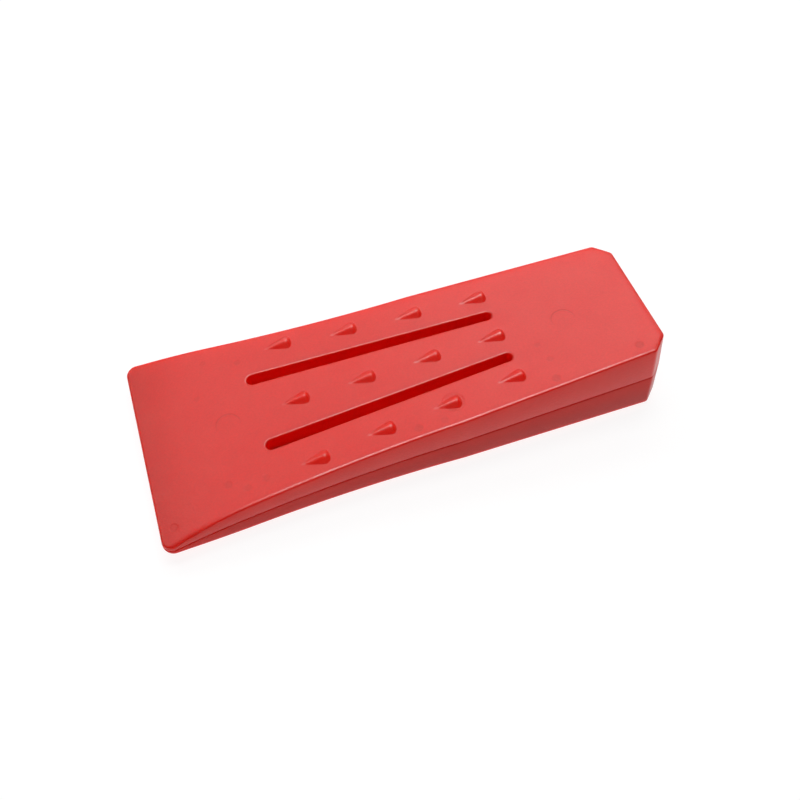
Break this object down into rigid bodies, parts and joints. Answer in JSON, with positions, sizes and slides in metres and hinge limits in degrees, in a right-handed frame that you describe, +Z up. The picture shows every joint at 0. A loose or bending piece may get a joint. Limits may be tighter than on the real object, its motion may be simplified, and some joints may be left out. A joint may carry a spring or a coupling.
{
  "type": "felling wedge",
  "caption": "Flat tapered plastic felling wedge in two halves with a flared thin tip, chamfered struck end, gripping barbs and blind grooves on both faces.",
  "frame": {"origin": "middle of the footprint on the ground, level with the apexes of the lower barbs that the wedge stands on", "axes": "+X towards the struck end, along the level lower face; +Y across the width; +Z up, through the thickness"},
  "size_m": [0.1404, 0.062, 0.0237],
  "materials": {
    "upper_half_plastic": "satin moulded plastic, bright red",
    "lower_half_plastic": "satin moulded plastic, bright red"
  },
  "bodies": {
    "root": {"upper_half": "upper_half_plastic", "lower_half": "lower_half_plastic"}
  },
  "joints": []
}
